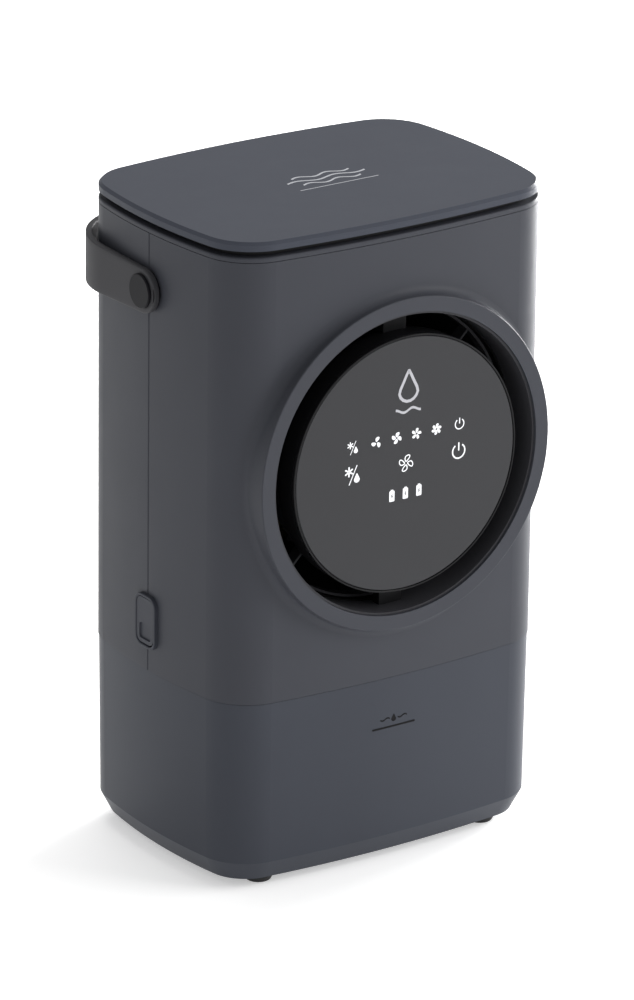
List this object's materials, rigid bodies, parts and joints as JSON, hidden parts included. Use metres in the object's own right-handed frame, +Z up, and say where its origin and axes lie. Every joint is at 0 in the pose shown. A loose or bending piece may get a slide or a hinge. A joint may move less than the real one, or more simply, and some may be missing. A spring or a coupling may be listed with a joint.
{
  "type": "portable evaporative air cooler",
  "caption": "Tabletop evaporative air cooler: rounded upright case with a round outlet ring around a touch display, lift-off water tank and lid, side latches and a swinging carry strap.",
  "frame": {"origin": "on the standing surface, under the middle of the whole object's bounding box", "axes": "+Z up, the outlet and display face -Y, the carry strap lies at +Y, X across"},
  "size_m": [0.2118, 0.1654, 0.3392],
  "materials": {
    "case_plastic": "satin",
    "lid_plastic": "satin",
    "tank_plastic": "smoky satin gloss",
    "duct_plastic": "matte",
    "display_panel": "dead-front panel",
    "display_trim": "gloss",
    "strap_rubber": "matte",
    "cap_plastic": "matte",
    "seal_rubber": "matte",
    "fan_plastic": "matte",
    "pump_plastic": "matte",
    "steel": "plain",
    "motor_can": "plain",
    "cell_wrap": "shrink wrap",
    "circuit_board": "solder mask",
    "wick": "fibrous",
    "filter_mesh": "fine mesh"
  },
  "bodies": {
    "tank": {"water_tank": "tank_plastic", "rubber_feet": "seal_rubber", "tank_seal": "seal_rubber"},
    "lid": {"lid_plate": "lid_plastic", "lid_gasket": "seal_rubber"},
    "strap": {"carry_strap": "strap_rubber"},
    "latch_left": {"latch_button_left": "case_plastic"},
    "latch_right": {"latch_button_right": "case_plastic"},
    "rotor": {"fan_rotor": "fan_plastic", "motor_shaft": "steel", "rotor_cap": "fan_plastic"},
    "housing": {"battery_cells": "cell_wrap", "battery_tray": "duct_plastic", "charge_port": "duct_plastic", "control_board": "circuit_board", "display_bezel": "display_trim", "display_glass": "display_panel", "drip_tray": "duct_plastic", "dust_filter": "filter_mesh", "fan_motor": "motor_can", "fan_shroud": "duct_plastic", "front_shell": "case_plastic", "guide_vanes": "duct_plastic", "housing_floor": "duct_plastic", "ice_tray": "duct_plastic", "latch_frames": "case_plastic", "latch_pins": "steel", "latch_spring_left": "steel", "latch_spring_right": "steel", "light_mask": "duct_plastic", "motor_mount": "duct_plastic", "motor_screws": "steel", "outlet_duct": "duct_plastic", "outlet_liner": "duct_plastic", "pad_frame": "duct_plastic", "pivot_pins": "cap_plastic", "pivot_washers": "cap_plastic", "pod_shell": "duct_plastic", "rear_grille": "case_plastic", "rear_shell": "case_plastic", "riser_tube": "pump_plastic", "shell_screws": "steel", "shroud_screws": "steel", "top_collar": "case_plastic", "touch_board": "circuit_board", "water_pump": "pump_plastic", "wick_pad": "wick"}
  },
  "joints": [
    {"name": "housing_lift", "type": "slide", "parent": "tank", "child": "housing", "axis": [0, 0, 1], "range_m": [0, 0.1]},
    {"name": "lid_lift", "type": "slide", "parent": "housing", "child": "lid", "axis": [0, 0, 1], "range_m": [0, 0.05]},
    {"name": "strap_swing", "type": "hinge", "parent": "housing", "child": "strap", "pos_m": [0, -0.0041, 0.3002], "axis": [1, 0, 0], "range_deg": [0, 180]},
    {"name": "latch_left_press", "type": "hinge", "parent": "housing", "child": "latch_left", "pos_m": [-0.0986, -0.0041, 0.1352], "axis": [0, -1, 0], "range_deg": [0, 6], "stiffness_Nm_per_rad": 0.05, "springref_deg": -8.59, "deforming": ["latch_spring_left"]},
    {"name": "latch_right_press", "type": "hinge", "parent": "housing", "child": "latch_right", "pos_m": [0.0986, -0.0041, 0.1352], "axis": [0, 1, 0], "range_deg": [0, 6], "stiffness_Nm_per_rad": 0.05, "springref_deg": -8.59, "deforming": ["latch_spring_right"]},
    {"name": "fan_spin", "type": "hinge", "parent": "housing", "child": "rotor", "pos_m": [0, -0.0041, 0.2139], "axis": [0, -1, 0], "continuous": true}
  ]
}
